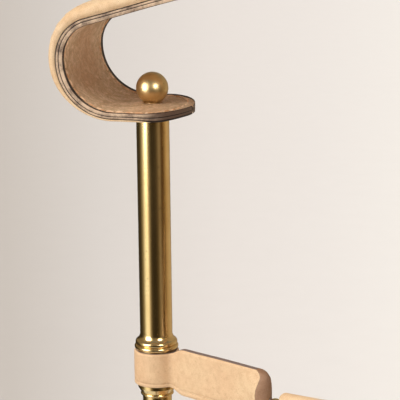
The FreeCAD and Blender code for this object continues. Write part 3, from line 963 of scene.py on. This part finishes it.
def rail_stitches():
    """Points and faces of the slanted stitches along the rail's seam."""
    _, bend, centre = rail_line()
    count = int(2 * RAIL_ANGLE * bend / RAIL_STITCH_PITCH)
    shells = []
    for k in range(count):
        angle = RAIL_ANGLE * (2 * (k + 0.5) / count - 1)
        outward = Vector((math.sin(angle), -math.cos(angle), 0))
        along = Vector((math.cos(angle), math.sin(angle), 0))
        out = outward * math.cos(RAIL_SEAM) + Vector((0, 0, math.sin(RAIL_SEAM)))
        at = centre + outward * bend + Vector((0, 0, STRAP_Z)) + out * (RAIL_R - 0.12)
        slant = (along.cross(out) + 0.5 * along).normalized()
        shells.append(stitch(at, slant, along, out, RAIL_STITCH_L, RAIL_THREAD_R))
    return join(shells)


def build_rails():
    points, faces = rail_skin()
    thread_points, thread_faces = rail_stitches()
    for node, deep, drop in (("high_rail_cover", 1, 0.0), ("low_rail_cover", -1, SIDE_DROP)):
        matrix = Matrix.Translation((0, 0, -drop)) @ Matrix.Diagonal((1, deep, 1, 1))
        rail = piece(node + "_leather", [matrix @ p for p in points], faces, [TAN])
        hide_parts(node)
        placed = [matrix @ p for p in thread_points]
        piece(node + "_stitches", placed, thread_faces, [PALE_THREAD])


# ---------------------------------------------------------------- shelf


def rounded_rectangle(half_x, half_y, radius, corner_steps=10):
    """Points round a rectangle with round corners, counter-clockwise."""
    points = []
    for k, (sx, sy) in enumerate(((1, 1), (-1, 1), (-1, -1), (1, -1))):
        for j in range(corner_steps + 1):
            angle = math.pi / 2 * (k + j / corner_steps)
            x = sx * (half_x - radius) + radius * math.cos(angle)
            points.append((x, sy * (half_y - radius) + radius * math.sin(angle)))
    return points


def build_shelf():
    """The shelf's leather cover: rolled edges, a sewn border and a slightly full middle."""
    half_x, half_y = SHELF_HIGH.x, SHELF_HIGH.y
    low, high = SHELF_LOW.z, SHELF_HIGH.z
    rings = []
    rows = ((0.4, low), (0.0, low + 0.4), (0.0, high - 0.6), (0.25, high - 0.15), (0.8, high))
    groove = ((3.0, high), (SHELF_STITCH_IN, high - 0.22), (4.2, high))
    border = groove + ((6.0, high + 0.05), (9.0, high + 0.12))
    for inset, z in rows + border:
        corner = max(SHELF_CORNER_R - inset, 1.2)
        ring = rounded_rectangle(half_x - inset, half_y - inset, corner)
        rings.append([Vector((x, y, z)) for x, y in ring])
    points, faces = loft(rings)
    cover = piece("shelf_cover_leather", points, faces, [SHELF_TAN])
    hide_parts("shelf_cover")
    inset = SHELF_STITCH_IN
    outline = rounded_rectangle(half_x - inset, half_y - inset, SHELF_CORNER_R - inset)
    shells = []
    for (x0, y0), (x1, y1) in zip(outline, outline[1:] + outline[:1]):
        run = Vector((x1 - x0, y1 - y0, 0))
        count = max(round(run.length / STITCH_PITCH), 1)
        if run.length < STITCH_PITCH / 3:
            continue
        for k in range(count):
            share = (k + 0.5) / count
            centre = Vector((x0, y0, high - 0.1)) + run * share
            along = run.normalized()
            length = min(STITCH_L, run.length * 0.8)
            shells.append(stitch(centre, along, Vector((0, 0, 1)).cross(along), Vector((0, 0, 1)), length))
    points, faces = join(shells)
    piece("shelf_cover_stitches", points, faces, [PALE_THREAD])


# ---------------------------------------------------------------- studio

# The camera's distance and aim are millimetres. Sizes of softboxes, screen and floor are metres.
CAMERA_AZIMUTH = math.radians(17.0)
CAMERA_TILT = math.radians(13.0)
CAMERA_ROLL = math.radians(-0.65)
CAMERA_DISTANCE = 917.25
CAMERA_LENS = 171.0
AIM = Vector((-POST_X + 23.35, 0, TUBE_TOP - 41.7))
HIGHLIGHT_DISTANCE = 0.75

SCREEN_R = 0.80
SCREEN_HIGH_TONE = (0.36, 0.29, 0.19)
SCREEN_HIGH_SPAN = (0.30, 0.46)
SCREEN_FROM = -0.6
SCREEN_TO = 0.95
# Tones round the post, in degrees from the camera's side and growing to its right
SCREEN_TONES = (
    (-180, (0.05, 0.04, 0.025)),
    (-112, (0.035, 0.027, 0.014)),
    (-88, (0.26, 0.22, 0.13)),
    (-68, (1.15, 1.12, 0.98)),
    (-50, (1.30, 1.22, 1.05)),
    (-36, (0.26, 0.20, 0.11)),
    (-22, (0.030, 0.020, 0.006)),
    (8, (0.024, 0.015, 0.004)),
    (24, (0.075, 0.050, 0.018)),
    (44, (0.32, 0.25, 0.17)),
    (56, (0.09, 0.05, 0.015)),
    (74, (0.05, 0.016, 0.002)),
    (90, (0.46, 0.32, 0.17)),
    (130, (0.55, 0.44, 0.30)),
    (180, (0.30, 0.24, 0.17)),
)
FLOOR_HALF = 9.0
FLOOR_SPREAD = 0.105  # the tones' reach to each side of the camera's line, over the distance ahead
FLOOR_BEHIND = (0.7, 1.35)  # distances ahead of the camera between which the tones come in
# Tones of painted shade across the floor, from the camera's left to its right
FLOOR_SHADE_TONES = (
    (0.0, (0.60, 0.555, 0.515)),
    (0.25, (0.71, 0.670, 0.640)),
    (0.55, (0.81, 0.765, 0.735)),
    (0.80, (0.85, 0.810, 0.780)),
    (1.0, (0.89, 0.855, 0.820)),
)


def toward(azimuth, elevation):
    """The direction from the object at an azimuth, which is 0 at -Y and grows towards +X."""
    flat = math.cos(elevation)
    return Vector((math.sin(azimuth) * flat, -math.cos(azimuth) * flat, math.sin(elevation)))


CAMERA_PLACE = (AIM + toward(CAMERA_AZIMUTH, CAMERA_TILT) * CAMERA_DISTANCE) * MM


def look(obj, place, aim, roll=0.0):
    """Puts obj at a place in metres, with its -Z axis at the aim point."""
    turn = (aim - place).to_track_quat("-Z", "Y").to_matrix().to_4x4()
    obj.matrix_world = Matrix.Translation(place) @ turn @ Matrix.Rotation(roll, 4, "Z")


def build_camera():
    data = bpy.data.cameras.new("camera")
    data.lens = CAMERA_LENS
    data.sensor_width = 36.0
    camera = bpy.data.objects.new("camera", data)
    bpy.context.scene.collection.objects.link(camera)
    look(camera, CAMERA_PLACE, AIM * MM, CAMERA_ROLL)
    bpy.context.scene.camera = camera


def highlight(name, azimuth, elevation, size, power, colour):
    """A softbox that faces the post's top and doesn't light matt surfaces."""
    data = bpy.data.lights.new(name, "AREA")
    data.shape = "RECTANGLE"
    data.size, data.size_y = size
    data.energy = power
    data.color = colour
    lamp = bpy.data.objects.new(name, data)
    bpy.context.scene.collection.objects.link(lamp)
    aim = Vector((-POST_X, 0, TUBE_TOP)) * MM
    away = toward(math.radians(azimuth), math.radians(elevation))
    look(lamp, aim + away * HIGHLIGHT_DISTANCE, aim)
    lamp.visible_diffuse = False


def build_surround():
    """A round screen that only gloss sees. Its tones go round the post and give the tubes their bands."""
    steps = 96
    centre = Vector((-POST_X * MM, 0, 0))
    points, faces = [], []
    for k in range(steps):
        edge = centre + toward(math.tau * k / steps, 0) * SCREEN_R
        points += [edge + Vector((0, 0, SCREEN_FROM)), edge + Vector((0, 0, SCREEN_TO))]
    for k in range(steps):
        low, high = 2 * k, 2 * ((k + 1) % steps)
        faces.append((low, high, high + 1, low + 1))
    mesh = bpy.data.meshes.new("surround")
    mesh.from_pydata(points, [], faces)
    finish = Finish("surround_finish")
    finish.nodes.remove(finish.shader)
    round_post = finish.mapped("Location", (POST_X * MM, 0, 0))
    turn = (0, 0, math.pi / 2 - CAMERA_AZIMUTH)
    azimuth = finish.nodes.new("ShaderNodeTexGradient")
    azimuth.gradient_type = "RADIAL"
    finish.link(finish.mapped("Rotation", turn, round_post), azimuth.inputs["Vector"])
    stops = [((degrees + 180) / 360, tone) for degrees, tone in SCREEN_TONES]
    tone = finish.ramp(azimuth.outputs["Fac"], *stops)
    uneven = finish.ramp(finish.noise(7, 2), (0.3, 0.75), (0.7, 1.25))
    high = finish.span(finish.split()["Z"], *SCREEN_HIGH_SPAN, "SMOOTHSTEP")
    tone = finish.mix(high, tone, finish.mix(0.6, tone, SCREEN_HIGH_TONE))
    glow = finish.nodes.new("ShaderNodeEmission")
    finish.link(finish.mix(1.0, tone, uneven, "MULTIPLY"), glow.inputs["Color"])
    finish.link(glow.outputs["Emission"], finish.nodes["Material Output"].inputs["Surface"])
    mesh.materials.append(finish.material)
    screen = bpy.data.objects.new("surround", mesh)
    bpy.context.scene.collection.objects.link(screen)
    for kind in ("camera", "diffuse", "transmission", "volume_scatter", "shadow"):
        setattr(screen, "visible_" + kind, False)


def build_floor():
    """A pale floor. Behind the stand painted shade darkens it towards the left, as seen from the camera's
    place.
    """
    half = FLOOR_HALF
    mesh = bpy.data.meshes.new("floor")
    corners = [(-half, -half, 0), (half, -half, 0), (half, half, 0), (-half, half, 0)]
    mesh.from_pydata(corners, [], [(0, 1, 2, 3)])
    finish = Finish("floor_painted_shade_finish", Roughness=0.9, Specular_IOR_Level=0.1)
    # Places on the floor from below the camera: X to its right and Y ahead of it
    moved = finish.mapped("Location", (-CAMERA_PLACE.x, -CAMERA_PLACE.y, 0))
    ahead = finish.split(finish.mapped("Rotation", (0, 0, -CAMERA_AZIMUTH), moved))
    slope = finish.maths("DIVIDE", ahead["X"], ahead["Y"])
    # Painted shade: the floor's tone darkens towards the camera's left.
    tone = finish.ramp(finish.span(slope, -FLOOR_SPREAD, FLOOR_SPREAD), *FLOOR_SHADE_TONES)
    behind = finish.span(ahead["Y"], *FLOOR_BEHIND, "SMOOTHSTEP")
    tone = finish.mix(behind, FLOOR_SHADE_TONES[-1][1], tone)
    speckle = finish.ramp(finish.noise(35, 4), (0.3, 0.99), (0.7, 1.0))
    finish.colour(finish.mix(1.0, tone, speckle, "MULTIPLY"))
    mesh.materials.append(finish.material)
    floor = bpy.data.objects.new("floor", mesh)
    floor.visible_glossy = False
    bpy.context.scene.collection.objects.link(floor)


def build_world():
    """Pale at the horizon and dimmer overhead."""
    world = bpy.data.worlds.new("studio")
    bpy.context.scene.world = world
    world.use_nodes = True
    tree = world.node_tree
    place = tree.nodes.new("ShaderNodeTexCoord")
    split = tree.nodes.new("ShaderNodeSeparateXYZ")
    ramp = tree.nodes.new("ShaderNodeValToRGB")
    tree.links.new(place.outputs["Generated"], split.inputs["Vector"])
    tree.links.new(split.outputs["Z"], ramp.inputs["Fac"])
    ramp.color_ramp.elements[0].position = 0.10
    ramp.color_ramp.elements[0].color = (0.88, 0.86, 0.84, 1)
    ramp.color_ramp.elements[1].position = 0.65
    ramp.color_ramp.elements[1].color = (0.22, 0.205, 0.19, 1)
    tree.links.new(ramp.outputs["Color"], tree.nodes["Background"].inputs["Color"])
    tree.nodes["Background"].inputs["Strength"].default_value = 1.0


def build_lights():
    """A soft sun for the leather and the floor, and two softboxes for the brass."""
    data = bpy.data.lights.new("soft_key", "SUN")
    data.angle = math.radians(50)
    data.energy = 2.75
    data.color = (1.0, 0.98, 0.95)
    sun = bpy.data.objects.new("soft_key", data)
    bpy.context.scene.collection.objects.link(sun)
    sun.visible_glossy = False
    look(sun, toward(math.radians(-38), math.radians(54)), Vector((0, 0, 0)))
    highlight("left_softbox", -38, 11, (0.47, 0.58), 5.6, (1.0, 0.96, 0.90))
    highlight("right_softbox", 44, 22, (0.22, 0.24), 2.4, (1.0, 0.95, 0.88))


bpy.context.scene.view_settings.view_transform = "Standard"
finish_frame()
build_handle()
build_straps()
build_rails()
build_shelf()
build_camera()
build_floor()
build_world()
build_lights()
build_surround()
